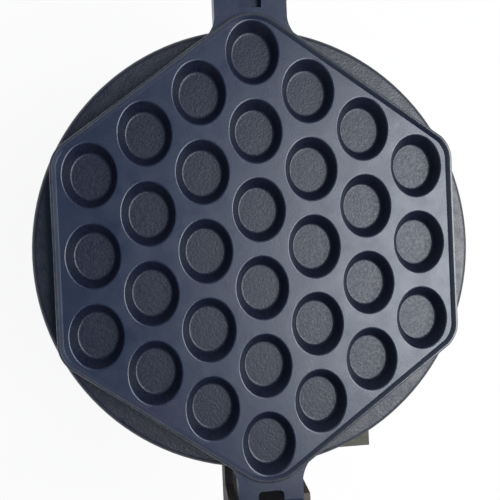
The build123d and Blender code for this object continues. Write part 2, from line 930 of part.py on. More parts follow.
def thermostat_bulb():
    """Bulb under the lower plate, and its capillary that runs down to the thermostat."""
    z = flange_top - bulb_r
    half = bulb_len / 2
    bulb = bar_x(bulb_r, -half, half, bulb_y, z)
    x = capillary_x()
    low = control_z + control_h / 2
    path = FilletPolyline((x, bulb_y, z), (x, bulb_y, low + capillary_rise),
                          (x, capillary_end_y, low + capillary_rise), (x, capillary_end_y, low),
                          radius=capillary_bend)
    start = Plane(origin=path @ 0, z_dir=path % 0)
    return bulb + sweep(start * Circle(capillary_r), path=path)


# Handle

def tang_screw_places():
    first = tang_start + tang_screw_start
    return [first, first + tang_screw_pitch]


def handle_tang():
    """Flat steel tang on the lid's front arm, with the rod that runs through the grip."""
    tang = block(-tang_w / 2, tang_w / 2, tang_start, tang_end - tang_w / 2, tang_z, tang_z + tang_t)
    tang += bar_y(rod_r, 0, tang_end - tang_w, grip_end + nut_h - nut_dome, rod_z)
    holes = [bar_z(screw_r, 0, y, tang_z, tang_z + tang_t) for y in tang_screw_places()]
    return tang - holes


def handle_screws():
    top = tang_z + tang_t
    return Compound([screw_z(0, y, top, tang_z - screw_bite) for y in tang_screw_places()])


def grip_turned(section):
    """Piece turned about the handle's own axis from a half section in (Y, radius)."""
    return Pos(0, 0, rod_z) * revolve(Plane.YZ * section, Axis.Y)


def handle_ferrule():
    ferrule = bar_y(ferrule_r, 0, ferrule_start, grip_start, rod_z)
    return ferrule - bar_y(rod_r + rod_clear, 0, ferrule_start, grip_start, rod_z)


def handle_grip():
    """Turned grip: a slim neck, a swell for the palm and a rounded end."""
    bore = rod_r + rod_clear
    neck = (grip_start, grip_neck_r)
    palm = (grip_start + grip_len / 2, grip_r)
    tail = (grip_end - grip_round, grip_tail_r)
    side = ThreePointArc(neck, palm, tail)
    ends = Polyline(tail, (grip_end, grip_tail_r - grip_round), (grip_end, bore),
                    (grip_start, bore), neck)
    return grip_turned(make_face(side + ends))


def handle_nut():
    """Dome nut at the end of the handle."""
    nut = bar_y(nut_r, 0, grip_end, grip_end + nut_h, rod_z)
    nut = chamfer(nut.faces().sort_by(Axis.Y)[-1].edges(), nut_r / 3)
    return nut - bar_y(rod_r + rod_clear, 0, grip_end, grip_end + nut_h - nut_dome, rod_z)


# Latch

def latch_stud(z):
    """Shouldered stud screwed into the right side of an arm."""
    side = front_arm_w / 2
    end = side + latch_t + 2 * latch_gap
    stud = bar_x(latch_pin_r, side - screw_bite, end, latch_y, z)
    return stud + bar_x(latch_head_r, end, end + latch_head_t, latch_y, z)


def latch_hook():
    """Flat hook that swings up from the lower arm and over the stud of the upper one."""
    pivot = disc_at(latch_y, latch_z, latch_boss_r)
    head = disc_at(latch_y, stud_z, latch_hook_r)
    tail = disc_at(latch_y + latch_tail_y, stud_z + latch_tail_z, latch_tail_r)
    tail_root = disc_at(latch_y + latch_hook_r - latch_tail_r, stud_z, latch_tail_r)
    outline = joined([pivot, head]) + joined([tail_root, tail])
    path = CenterArc((latch_y, latch_z), latch_rise, 90, latch_entry)
    slot = SlotArc(path, 2 * (latch_pin_r + latch_slot_clear))
    outline = outline - slot - disc_at(latch_y, latch_z, latch_pin_r + latch_pin_clear)
    inner = front_arm_w / 2 + latch_gap
    hook = side_plate(outline, inner, inner + latch_t)
    return hook.rotate(Axis((0, latch_y, latch_z), (1, 0, 0)), -latch_swing)


def lid_gland_place():
    """Lower left corner of the lid's terminal box, with room for the gland's nut."""
    room = box_wall + gland_nut_r * lid_gland_scale + gland_room
    return box_left + room, box_bottom + room


def upper_gland():
    """Gland of the lid's terminal box."""
    x, z = lid_gland_place()
    return gland(x, -box_back, z, lid_gland_scale)


def upper_box():
    x, z = lid_gland_place()
    neck_r = gland_neck_r * lid_gland_scale
    return terminal_box() - bar_y(neck_r, x, -box_back, -box_back + box_wall, z)


def lid(shape):
    """A lower-half piece, copied to the lid and opened with it."""
    return opened(over(shape))


parts = {
    "rubber_feet": rubber_feet(),
    "foot_screws": foot_screws(),
    "bottom_tray": bottom_tray(),
    "base_shell": base_shell(),
    "front_panel": front_panel(),
    "thermostat_body": control_body(thermostat_x),
    "thermostat_spindle": spindle(thermostat_x),
    "thermostat_knob": knob(thermostat_x),
    "thermostat_bulb": thermostat_bulb(),
    "timer_body": control_body(timer_x),
    "timer_spindle": spindle(timer_x),
    "timer_knob": knob(timer_x),
    "switch_frame": switch_frame(),
    "switch_rocker": rocker(),
    "pilot_lamps": pilot_lamps(),
    "terminal_block": terminal_block(),
    "cord_gland": gland(gland_x, -base_back, gland_z, 1),
    "support_posts": support_posts(),
    "post_screws": post_screws(),
    "lead_conduit": lead_conduit(),
    "lower_leads": lower_leads(),
    "lower_housing": lower_housing(),
    "lower_insulation": lower_insulation(),
    "lower_element": element(),
    "lower_element_clamps": element_clamps(),
    "lower_plate": lower_plate(),
    "lower_plate_screws": plate_screws(),
    "lower_terminal_ceramic": terminal_ceramic(),
    "lower_terminal_box": lower_box(),
    "lower_box_screw": box_screw(),
    "hinge_bracket": hinge_bracket(),
    "bracket_bolts": bracket_bolts(),
    "hinge_pin": hinge_pin(),
    "hinge_clip": hinge_clip(),
    "stop_bar": stop_bar(),
    "latch_pivot": latch_stud(latch_z),
    "latch_hook": latch_hook(),
    "upper_housing": lid(housing()),
    "upper_insulation": lid(insulation()),
    "upper_element": lid(element()),
    "upper_element_clamps": lid(element_clamps()),
    "upper_plate": opened(upper_plate()),
    "upper_plate_screws": lid(plate_screws()),
    "upper_terminal_ceramic": lid(terminal_ceramic()),
    "upper_terminal_box": lid(upper_box()),
    "upper_box_screw": lid(box_screw()),
    "upper_gland": lid(upper_gland()),
    "handle_tang": opened(handle_tang()),
    "handle_screws": opened(handle_screws()),
    "handle_ferrule": opened(handle_ferrule()),
    "handle_grip": opened(handle_grip()),
    "handle_nut": opened(handle_nut()),
    "latch_stud": opened(latch_stud(stud_z)),
}

length = Compound(list(parts.values())).bounding_box()
shift = -(length.min.Y + length.max.Y) / 2
for name, shape in parts.items():
    export_step(Pos(0, shift, 0) * shape, f"parts/{name}.step")

print("all moved along Y by", round(shift, 3))
print("hinge pin at", round(shift - hinge_reach, 3), round(pin_z, 3))
print("latch pivot at", round(shift + latch_y, 3), round(latch_z, 3))
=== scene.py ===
import json
from math import acos, atan2, cos, hypot, pi, radians, sin, tan

import bmesh
import bpy
from mathutils import Matrix, Vector

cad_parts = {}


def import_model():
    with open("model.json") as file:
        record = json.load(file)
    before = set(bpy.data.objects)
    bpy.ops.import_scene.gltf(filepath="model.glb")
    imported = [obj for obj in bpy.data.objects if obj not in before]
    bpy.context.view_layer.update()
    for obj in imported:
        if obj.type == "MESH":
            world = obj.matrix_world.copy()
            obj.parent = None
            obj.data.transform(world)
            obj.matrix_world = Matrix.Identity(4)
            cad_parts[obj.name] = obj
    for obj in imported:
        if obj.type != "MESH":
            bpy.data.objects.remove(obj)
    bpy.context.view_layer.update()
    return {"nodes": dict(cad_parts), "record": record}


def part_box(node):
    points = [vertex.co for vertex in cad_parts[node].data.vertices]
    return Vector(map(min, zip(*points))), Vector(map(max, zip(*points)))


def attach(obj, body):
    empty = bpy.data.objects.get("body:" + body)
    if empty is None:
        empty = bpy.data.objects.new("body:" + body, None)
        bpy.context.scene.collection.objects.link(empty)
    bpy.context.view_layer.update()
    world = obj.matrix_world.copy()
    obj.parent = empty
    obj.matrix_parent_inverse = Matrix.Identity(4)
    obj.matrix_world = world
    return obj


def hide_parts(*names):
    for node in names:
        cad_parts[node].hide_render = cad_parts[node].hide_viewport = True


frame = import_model()

# Sizes are in millimetres in the plates' own frame, whose X = Y = 0 is the middle of the lower
# baking plate, as with the lid shut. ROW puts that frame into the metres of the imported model, LID puts
# it on the opened lid, and LID_OVER does so with a copy that is turned over the closing plane.
pin_low, pin_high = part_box("hinge_pin")
hinge_reach = 134.0
pin_z = 145.95
lid_open = 100.0
shift = 1000 * (pin_low.y + pin_high.y) / 2 + hinge_reach

ROW = Matrix.Scale(0.001, 4) @ Matrix.Translation((0, shift, 0))
ABOUT_PIN = Matrix.Translation((0, -hinge_reach, pin_z))
OVER = Matrix.Translation((0, 0, pin_z)) @ Matrix.Scale(-1, 4, (0, 0, 1)) @ Matrix.Translation((0, 0, -pin_z))
OPENED = ABOUT_PIN @ Matrix.Rotation(radians(lid_open), 4, "X") @ ABOUT_PIN.inverted()
LID = ROW @ OPENED
LID_OVER = LID @ OVER

# Cell grid: half sizes of an oval cell at its mouth and at its floor
cells_in_column = (3, 4, 5, 6, 5, 4, 3)
pitch_x = 25.5
pitch_y = 36.5
cell_mouth = (12.75, 15.5)
cell_floor = (9.4, 10.9)

# Plates: arms, gap and tongue by their half widths, starts and ends by their distance from the middle.
# Castings of one plate run into each other by lap.
flange_top = 134.0
face = 144.0
slant_margin = 18.5
side_margin = 17.5
apex_round = 19.0
corner_round = 13.0
front_arm = 17.0
front_arm_end = 133.0
thick_from = 106.0
thicker_by = 3.0
pocket_half = 5.0
pocket_start = 112.0
pocket_end = 121.0
key_gap = 0.5
key_reach = 3.5
rear_arm = 15.3
fork_gap = 6.1
fork_start = 113.4
fork_rise = 118.0
knuckle_r = 9.0
tongue = 5.8
lap = 0.02

# Housings, terminal cover and handle
disc_r = 105.7
pan_r = 89.0
pan_floor = 96.0
bracket_pad = (-20, 20, -93.5, -80, 100, 131)
cover_back = -100.5
rod_z = 163.4
rod_bore = 4.1
ferrule_start = 150.0
grip_start = 162.0
grip_end = 270.0
grip_radii = (11.0, 14.0, 12.4)

# Base and controls
panel_face = 86.5
control_z = 44.0
dial_x = {"thermostat": -42, "timer": 6}
mark_z = 66.6
units_z = 71
switch_x = 47
rocker_axle = 85
rocker_tilt = -10
lamp_x = (39, 55)
lamp_z = 66
foot_spots = [(x, y) for x in (-55, 55) for y in (-75, 65)]
foot_recess = 4

# Camera: lens in pixels of the picture, turns about Z, Y and X, place over the plate's face
picture_width = 500
lens_length = 664
camera_turns = (2.58, 6.94, 0.78)
camera_spot = (-42.42, 3.85, 306.09)


# Finishes

def finish(name, colour, roughness, metallic=0.0, **sockets):
    """New material with one shader; sockets are uniform values by their names."""
    made = bpy.data.materials.new(name)
    made.use_nodes = True
    shader = made.node_tree.nodes["Principled BSDF"]
    shader.inputs["Base Color"].default_value = (*colour, 1)
    shader.inputs["Roughness"].default_value = roughness
    shader.inputs["Metallic"].default_value = metallic
    for socket, value in sockets.items():
        shader.inputs[socket.replace("_", " ")].default_value = value
    return made


def noise(made, scale, detail, stretch=(1, 1, 1), rough=0.55):
    """Noise in object coordinates, scale features to a metre, drawn out along an axis by stretch."""
    nodes = made.node_tree.nodes
    links = made.node_tree.links
    where = nodes.new("ShaderNodeTexCoord")
    mapping = nodes.new("ShaderNodeMapping")
    mapping.inputs["Scale"].default_value = stretch
    texture = nodes.new("ShaderNodeTexNoise")
    texture.inputs["Scale"].default_value = scale
    texture.inputs["Detail"].default_value = detail
    texture.inputs["Roughness"].default_value = rough
    links.new(where.outputs["Object"], mapping.inputs["Vector"])
    links.new(mapping.outputs["Vector"], texture.inputs["Vector"])
    return texture.outputs["Fac"]


def ramp(made, value, stops):
    """Colour or grey ramp over a value; stops are (place, colour) with colours as tuples or greys."""
    node = made.node_tree.nodes.new("ShaderNodeValToRGB")
    marks = node.color_ramp.elements
    while len(marks) < len(stops):
        marks.new(0.5)
    for mark, (place, colour) in zip(marks, stops):
        mark.position = place
        grey = isinstance(colour, float)
        mark.color = (colour, colour, colour, 1) if grey else (*colour, 1)
    made.node_tree.links.new(value, node.inputs["Fac"])
    return node.outputs["Color"]


def feed(made, socket, value):
    """Joins a node's output to a socket of the shader."""
    shader = made.node_tree.nodes["Principled BSDF"]
    made.node_tree.links.new(value, shader.inputs[socket])


def bump(made, height, strength, distance):
    """Adds relief to the shader, on top of any it has."""
    nodes = made.node_tree.nodes
    links = made.node_tree.links
    shader = nodes["Principled BSDF"]
    relief = nodes.new("ShaderNodeBump")
    relief.inputs["Strength"].default_value = strength
    relief.inputs["Distance"].default_value = distance
    if shader.inputs["Normal"].is_linked:
        links.new(shader.inputs["Normal"].links[0].from_socket, relief.inputs["Normal"])
    links.new(height, relief.inputs["Height"])
    links.new(relief.outputs["Normal"], shader.inputs["Normal"])


def nonstick_coating():
    """Sprayed non-stick coat on the baking plates: blue-black, satin, with a fine grain."""
    made = finish("nonstick_coating", (0.007, 0.012, 0.032), 0.36, Specular_IOR_Level=0.85,
                  Specular_Tint=(0.88, 0.94, 1.0, 1))
    feed(made, "Base Color", ramp(made, noise(made, 38, 5), [
        (0.3, (0.003, 0.009, 0.032)), (0.55, (0.007, 0.014, 0.040)), (0.75, (0.014, 0.016, 0.040))]))
    feed(made, "Roughness", ramp(made, noise(made, 120, 6), [(0.3, 0.32), (0.7, 0.42)]))
    bump(made, noise(made, 1500, 2), 0.30, 0.00012)
    bump(made, noise(made, 260, 3), 0.12, 0.0003)
    return made


def cell_coating():
    """The same coat inside the cells, sprayed rougher, with a darker colour that is painted shade in the
    cells.
    """
    made = finish("cell_coating", (0.005, 0.008, 0.021), 0.43, Specular_IOR_Level=0.62,
                  Specular_Tint=(0.88, 0.93, 1.0, 1))
    feed(made, "Base Color", ramp(made, noise(made, 900, 3), [
        (0.35, (0.002, 0.004, 0.015)), (0.65, (0.009, 0.012, 0.030))]))
    feed(made, "Roughness", ramp(made, noise(made, 700, 4), [(0.3, 0.34), (0.7, 0.50)]))
    bump(made, noise(made, 1000, 3), 0.55, 0.0002)
    return made


def rim_coating():
    """The same coat on top of the rim, smoother, with a paler colour that is a painted highlight along the
    bead.
    """
    made = finish("rim_coating", (0.037, 0.040, 0.053), 0.29, Specular_IOR_Level=0.85,
                  Specular_Tint=(0.88, 0.94, 1.0, 1))
    feed(made, "Base Color", ramp(made, noise(made, 300, 4), [
        (0.3, (0.026, 0.030, 0.046)), (0.7, (0.048, 0.050, 0.060))]))
    feed(made, "Roughness", ramp(made, noise(made, 400, 5), [(0.3, 0.24), (0.7, 0.34)]))
    bump(made, noise(made, 1500, 2), 0.20, 0.00012)
    return made


def housing_coating():
    """Coat on the cast housings, rougher than on the plates."""
    made = finish("housing_coating", (0.008, 0.010, 0.020), 0.42, Specular_IOR_Level=0.80,
                  Specular_Tint=(0.92, 0.95, 1.0, 1))
    feed(made, "Base Color", ramp(made, noise(made, 50, 5), [
        (0.3, (0.004, 0.006, 0.016)), (0.7, (0.012, 0.014, 0.026))]))
    feed(made, "Roughness", ramp(made, noise(made, 200, 6), [(0.3, 0.36), (0.7, 0.52)]))
    bump(made, noise(made, 900, 3), 0.6, 0.00025)
    return made


def brushed(name, colour, roughness, stretch, metallic=1.0, **sockets):
    """Rolled steel with fine lines along one axis and faint handling marks."""
    made = finish(name, colour, roughness, metallic, **sockets)
    lines = noise(made, 900, 3, stretch)
    feed(made, "Roughness", ramp(made, lines, [(0.3, roughness - 0.08), (0.7, roughness + 0.10)]))
    dark = tuple(0.86 * c for c in colour)
    feed(made, "Base Color", ramp(made, noise(made, 22, 5), [(0.35, dark), (0.6, colour)]))
    bump(made, lines, 0.10, 0.00005)
    return made


def plated(name, colour, roughness):
    """Zinc or nickel plating with soft clouding."""
    made = finish(name, colour, roughness, 1.0)
    clouds = noise(made, 160, 4)
    feed(made, "Roughness", ramp(made, clouds, [(0.3, roughness - 0.05), (0.7, roughness + 0.12)]))
    bump(made, noise(made, 700, 2), 0.08, 0.00008)
    return made


def moulded(name, colour, roughness, grain=900.0, relief=0.15):
    """Moulded plastic or rubber with a light spark grain."""
    made = finish(name, colour, roughness)
    low = tuple(0.75 * c for c in colour)
    feed(made, "Base Color", ramp(made, noise(made, 60, 3), [(0.3, low), (0.65, colour)]))
    patches = noise(made, 300, 3)
    feed(made, "Roughness", ramp(made, patches, [(0.3, roughness - 0.06), (0.7, roughness + 0.08)]))
    bump(made, noise(made, grain, 2), relief, 0.0001)
    return made


def turned_wood():
    """Dark stained hardwood, its grain along the grip, under a thin varnish."""
    made = finish("turned_wood", (0.2, 0.09, 0.04), 0.35, Coat_Weight=0.5, Coat_Roughness=0.2)
    grain = noise(made, 260, 6, (1, 0.9, 0.05), 0.62)
    feed(made, "Base Color", ramp(made, grain, [
        (0.30, (0.050, 0.018, 0.008)), (0.47, (0.130, 0.052, 0.022)),
        (0.58, (0.210, 0.092, 0.040)), (0.75, (0.100, 0.040, 0.018))]))
    feed(made, "Roughness", ramp(made, grain, [(0.3, 0.46), (0.7, 0.32)]))
    bump(made, grain, 0.18, 0.0002)
    return made


def heated_steel():
    """Heater sheath, browned by use."""
    made = finish("heated_steel", (0.3, 0.26, 0.22), 0.45, 1.0)
    feed(made, "Base Color", ramp(made, noise(made, 70, 5), [
        (0.3, (0.16, 0.12, 0.09)), (0.6, (0.34, 0.29, 0.24))]))
    bump(made, noise(made, 800, 3), 0.2, 0.0001)
    return made


COATING = nonstick_coating()
IN_CELLS = cell_coating()
ON_RIM = rim_coating()
HOUSING = housing_coating()
SHEET = brushed("stainless_sheet_brushed", (0.56, 0.55, 0.52), 0.30, (0.03, 0.03, 1))
PLATE_STEEL = brushed("stainless_plate_brushed", (0.50, 0.49, 0.47), 0.34, (1, 0.04, 1))
# The bracket's dull brown colour is a painted reflection of brown surroundings in its steel.
BRACKET_STEEL = brushed("bracket_steel_painted_brown_reflection", (0.130, 0.112, 0.105), 0.60, (1, 0.04, 1), 0.0,
                        Specular_IOR_Level=0.1)
# The covers' dark olive colour is a painted reflection of dark surroundings in the stainless sheet.
COVER_SHEET = brushed("cover_sheet_painted_dark_reflection", (0.060, 0.062, 0.052), 0.40, (0.04, 1, 1))
ZINC = plated("zinc_plating", (0.60, 0.61, 0.62), 0.32)
BRIGHT = plated("polished_nickel", (0.66, 0.66, 0.66), 0.14)
SHEATH = heated_steel()
CERAMIC = moulded("glazed_ceramic", (0.80, 0.78, 0.72), 0.30, 400, 0.08)
WOOL = moulded("mineral_wool_mat", (0.50, 0.44, 0.27), 0.95, 350, 0.9)
PHENOLIC = moulded("black_phenolic", (0.028, 0.028, 0.030), 0.34)
RUBBER = moulded("foot_rubber_grained", (0.035, 0.035, 0.037), 0.72, 700, 0.3)
COPPER = plated("copper_capillary", (0.70, 0.36, 0.20), 0.30)
SLEEVE = moulded("glass_fibre_sleeve", (0.66, 0.64, 0.56), 0.85, 1400, 0.6)
WOOD = turned_wood()
AMBER = finish("amber_lens", (0.80, 0.28, 0.02), 0.12, Coat_Weight=0.6, Transmission_Weight=0.25)
GREEN = finish("green_lens", (0.05, 0.42, 0.12), 0.12, Coat_Weight=0.6, Transmission_Weight=0.25)
PRINT = finish("white_print", (0.80, 0.80, 0.78), 0.5)
DARK_PRINT = finish("black_print", (0.02, 0.02, 0.02), 0.5)

SLOT_FINISH = {
    "foot_rubber": RUBBER, "zinc_steel": ZINC, "stainless_sheet": SHEET, "stainless_plate": PLATE_STEEL,
    "polished_steel": BRIGHT, "nonstick_cast_aluminium": COATING, "coated_housing": HOUSING,
    "element_steel": SHEATH, "ceramic": CERAMIC, "mineral_wool": WOOL, "black_plastic": PHENOLIC,
    "copper_tube": COPPER, "lamp_lens": AMBER, "lead_sleeve": SLEEVE, "handle_wood": WOOD,
}
NODE_SLOT = {entry["node"]: entry["material_slot"] for entry in frame["record"]["subparts"]}
NODE_BODY = {node: body for body, nodes in frame["record"]["behaviour"]["bodies"].items() for node in nodes}


# Making pieces

def piece(name, bm, node, material=None, keep=False, angle=38, place=ROW):
    """Turns a bmesh in millimetres, which place puts into the model, into a finished object. It stands
    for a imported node, or with keep only adds to it. Edges sharper than angle stay sharp."""
    bmesh.ops.remove_doubles(bm, verts=bm.verts, dist=0.004)
    bmesh.ops.recalc_face_normals(bm, faces=bm.faces)
    bm.transform(place)
    if place.determinant() < 0:
        bmesh.ops.reverse_faces(bm, faces=bm.faces)
    mesh = bpy.data.meshes.new(name)
    bm.to_mesh(mesh)
    bm.free()
    mesh.shade_smooth()
    mesh.set_sharp_from_angle(angle=radians(angle))
    made = bpy.data.objects.new(name, mesh)
    bpy.context.scene.collection.objects.link(made)
    mesh.materials.append(material or SLOT_FINISH[NODE_SLOT[node]])
    even = made.modifiers.new("even_shading", "WEIGHTED_NORMAL")
    even.keep_sharp = True
    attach(made, NODE_BODY[node])
    if not keep:
        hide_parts(node)
    return made


def tangent_length(radius, before, corner, after):
    """How far from a corner an arc of that radius begins."""
    a = (Vector(before) - Vector(corner)).angle(Vector(after) - Vector(corner))
    return radius / tan(a / 2)


def outline(bm, corners, z):
    """Flat face at height z whose corners are (x, y, radius), each rounded by its radius."""
    verts = [bm.verts.new((x, y, z)) for x, y, r in corners]
    bm.faces.new(verts)
    count = len(corners)
    for n, vert in enumerate(verts):
        radius = corners[n][2]
        if radius:
            before = (*corners[n - 1][:2], 0)
            after = (*corners[(n + 1) % count][:2], 0)
            reach = tangent_length(radius, before, (*corners[n][:2], 0), after)
            steps = max(3, int(radius / 1.2) + 2)
            bmesh.ops.bevel(bm, geom=[vert], offset=reach, offset_type="OFFSET", segments=steps,
                            profile=0.5, affect="VERTICES", material=-1)
    bm.faces.ensure_lookup_table()
    return bm.faces[0]


def raise_face(bm, flat, height):
    """Extrudes a face along Z and returns its moved copy."""
    new = bmesh.ops.extrude_face_region(bm, geom=[flat])["geom"]
    moved = [g for g in new if isinstance(g, bmesh.types.BMVert)]
    bmesh.ops.translate(bm, verts=moved, vec=(0, 0, height))
    return [g for g in new if isinstance(g, bmesh.types.BMFace)][0]


def slab(corners, low, high):
    """Flat plate between two heights."""
    bm = bmesh.new()
    raise_face(bm, outline(bm, corners, low), high - low)
    bmesh.ops.recalc_face_normals(bm, faces=bm.faces)
    return bm


def soften(bm, width, steps, angle=30, where=None):
    """Rounds the edges sharper than angle, or those of them that where picks."""
    edges = [e for e in bm.edges if len(e.link_faces) == 2 and e.calc_face_angle() > radians(angle)]
    if where:
        edges = [e for e in edges if where(e)]
    bmesh.ops.bevel(bm, geom=edges, offset=width, offset_type="OFFSET", segments=steps, profile=0.5,
                    affect="EDGES", material=-1, clamp_overlap=True)
    return bm


def block(x0, x1, y0, y1, z0, z1, round_by=0.0):
    """Block between its limits, with rounded edges where round_by is given."""
    bm = bmesh.new()
    bmesh.ops.create_cube(bm, size=1)
    size = Matrix.Diagonal((x1 - x0, y1 - y0, z1 - z0, 1))
    bm.transform(Matrix.Translation(((x0 + x1) / 2, (y0 + y1) / 2, (z0 + z1) / 2)) @ size)
    if round_by:
        soften(bm, round_by, 3)
    return bm


def turned(profile, steps, place=None):
    """Lathe piece from (radius, height) points about Z, closed at both ends on the axis or as a ring."""
    bm = bmesh.new()
    verts = [bm.verts.new((r, 0, h)) for r, h in profile]
    pairs = list(zip(verts, verts[1:]))
    if profile[0][0] > 0 and profile[-1][0] > 0:
        pairs.append((verts[-1], verts[0]))
    edges = [bm.edges.new(pair) for pair in pairs]
    bmesh.ops.spin(bm, geom=verts + edges, cent=(0, 0, 0), axis=(0, 0, 1), angle=2 * pi, steps=steps,
                   use_merge=True)
    bmesh.ops.remove_doubles(bm, verts=bm.verts, dist=0.002)
    bmesh.ops.recalc_face_normals(bm, faces=bm.faces)
    if place:
        bm.transform(place)
    return bm


def gather(parts):
    """One bmesh from several."""
    whole = bmesh.new()
    for part in parts:
        mesh = bpy.data.meshes.new("part")
        part.to_mesh(mesh)
        part.free()
        whole.from_mesh(mesh)
        bpy.data.meshes.remove(mesh)
    return whole


def at(x, y, z, along="Z"):
    """Places a lathe piece at a point, its axis along Z, -Z, Y or -Y."""
    turn = {"Z": Matrix(), "-Z": Matrix.Rotation(pi, 4, "X"),
            "Y": Matrix.Rotation(-pi / 2, 4, "X"), "-Y": Matrix.Rotation(pi / 2, 4, "X")}[along]
    return Matrix.Translation((x, y, z)) @ turn


def cut(bm, spot, normal):
    """Cuts all faces along a plane and keeps both sides."""
    bmesh.ops.bisect_plane(bm, geom=bm.verts[:] + bm.edges[:] + bm.faces[:], plane_co=spot, plane_no=normal)


def dressed(node, width, steps=2, material=None):
    """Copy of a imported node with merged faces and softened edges, which stands for it."""
    bm = bmesh.new()
    bm.from_mesh(frame["nodes"][node].data)
    bmesh.ops.scale(bm, vec=(1000, 1000, 1000), verts=bm.verts)
    bmesh.ops.remove_doubles(bm, verts=bm.verts, dist=0.002)
    bmesh.ops.dissolve_limit(bm, angle_limit=radians(1.0), use_dissolve_boundaries=False,
                             verts=bm.verts, edges=bm.edges, delimit=set())
    soften(bm, width, steps, 40)
    piece(node + "_dressed", bm, node, material, place=Matrix.Scale(0.001, 4))


def painted(node):
    """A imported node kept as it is, with its finish."""
    mesh = frame["nodes"][node].data
    mesh.materials.clear()
    mesh.materials.append(SLOT_FINISH[NODE_SLOT[node]])


# Baking plates

def cell_centres():
    """Middles of the thirty cells, column by column."""
    middle = (len(cells_in_column) - 1) / 2
    return [((column - middle) * pitch_x, (row - (count - 1) / 2) * pitch_y)
            for column, count in enumerate(cells_in_column) for row in range(count)]


side_x = (len(cells_in_column) - 1) / 2 * pitch_x
apex_cell = (max(cells_in_column) - 1) / 2 * pitch_y
side_cell = (cells_in_column[0] - 1) / 2 * pitch_y
slope = (apex_cell - side_cell) / side_x


def slant_y(x, inset):
    """Height in Y of the upper slanted edge at x, a given distance inside the outline."""
    return apex_cell + (slant_margin - inset) * hypot(1, slope) - slope * abs(x)


def hexagon(bm, inset, z):
    """The plate's outline at height z, a given distance inside its edge."""
    edge_x = side_x + side_margin - inset
    edge_y = slant_y(edge_x, inset)
    top = slant_y(0, inset)
    side = corner_round - inset
    tip = apex_round - inset
    return outline(bm, [(0, top, tip), (edge_x, edge_y, side), (edge_x, -edge_y, side),
                        (0, -top, tip), (-edge_x, -edge_y, side), (-edge_x, edge_y, side)], z)


# Steps of the raised bead from the plate's outer edge inwards: (inset, rise)
BEAD = [(0.02, 1.20), (0.08, 0.50), (0.22, 0.35), (0.42, 0.13), (0.45, 0.02), (0.05, -0.04), (0.35, -0.42),
        (0.50, -0.60), (0.50, -0.50), (0.25, -0.21), (0.04, -0.03)]
# Steps of the key's pocket: (inset, rise)
POCKET = [(0.15, -0.25), (0.10, -3.35), (0.40, -0.40)]
# Steps of a cell from its mouth down: (share of the way from mouth to floor size, depth)
CELL = [(0.0, 0.0), (0.05, 0.02), (0.11, 0.09), (0.16, 0.22), (0.20, 0.45), (0.25, 0.90), (0.86, 5.35),
        (0.92, 5.85), (0.985, 6.18), (1.06, 6.38), (1.15, 6.48), (1.24, 6.5)]
CELL_STEPS = 60


def sink_cell(bm, x, y, loop):
    """Sinks one cell from its mouth's edges, ring by ring, and closes the floor."""
    centre = Matrix.Translation((-x, -y, 0))
    share, depth = CELL[0]
    size = cell_mouth
    for next_share, next_depth in CELL[1:]:
        new = bmesh.ops.extrude_edge_only(bm, edges=loop)["geom"]
        verts = [g for g in new if isinstance(g, bmesh.types.BMVert)]
        loop = [g for g in new if isinstance(g, bmesh.types.BMEdge) and all(v in verts for v in g.verts)]
        want = [m + (f - m) * next_share for m, f in zip(cell_mouth, cell_floor)]
        bmesh.ops.scale(bm, vec=(want[0] / size[0], want[1] / size[1], 1), space=centre, verts=verts)
        bmesh.ops.translate(bm, vec=(0, 0, depth - next_depth), verts=verts)
        depth = next_depth
        size = want
    bmesh.ops.contextual_create(bm, geom=loop)


def plate_body():
    """Hexagonal plate with its bead and its thirty cells, face up. Faces in the cells get the second finish,
    darkened with painted shade, and those on top of the bead the third, paled with a painted highlight."""
    bm = bmesh.new()
    top = raise_face(bm, hexagon(bm, 0, flange_top), face - flange_top - 0.4)
    bmesh.ops.recalc_face_normals(bm, faces=bm.faces)
    for inset, rise in BEAD:
        bmesh.ops.inset_region(bm, faces=[top], thickness=inset, depth=rise, use_even_offset=True,
                               use_boundary=True)
    rim = list(top.edges)
    bmesh.ops.delete(bm, geom=[top], context="FACES_ONLY")
    loops = []
    for x, y in cell_centres():
        oval = Matrix.Translation((x, y, face)) @ Matrix.Diagonal((*cell_mouth, 1, 1))
        ring = bmesh.ops.create_circle(bm, cap_ends=False, radius=1, segments=CELL_STEPS, matrix=oval)
        loops.append((x, y, list({e for v in ring["verts"] for e in v.link_edges})))
    edges = rim + [e for x, y, loop in loops for e in loop]
    bmesh.ops.triangle_fill(bm, use_beauty=True, use_dissolve=False, edges=edges, normal=(0, 0, 1))
    for x, y, loop in loops:
        sink_cell(bm, x, y, loop)
    bmesh.ops.remove_doubles(bm, verts=bm.verts, dist=0.004)
    bmesh.ops.recalc_face_normals(bm, faces=bm.faces)
    for side in bm.faces:
        rise = side.calc_center_median().z - face
        if side.normal.z > 0.2 and rise < -0.35:
            side.material_index = 1
        elif side.normal.z > 0.3 and rise > 1.2:
            side.material_index = 2
    return bm


def arm_corners(half, end, root_round, end_round, notch=0.0, notch_at=0.0):
    """Outline of an arm that starts under the bead and runs out along +Y to end, with a slot in its end
    where notch gives one."""
    foot = half + 10
    inner = 1.4
    left = [(-foot, slant_y(foot, 0) - 0.3, 0), (-half, slant_y(half, 0), root_round),
            (-half, end, end_round)]
    slot = []
    if notch:
        slot = [(-notch, end, 0), (-notch, notch_at, 2), (notch, notch_at, 2), (notch, end, 0)]
    right = [(-x, y, r) for x, y, r in reversed(left)]
    under = [(foot, slant_y(foot, inner), 0), (0, slant_y(0, inner), apex_round - inner),
             (-foot, slant_y(foot, inner), 0)]
    return left + slot + right + under


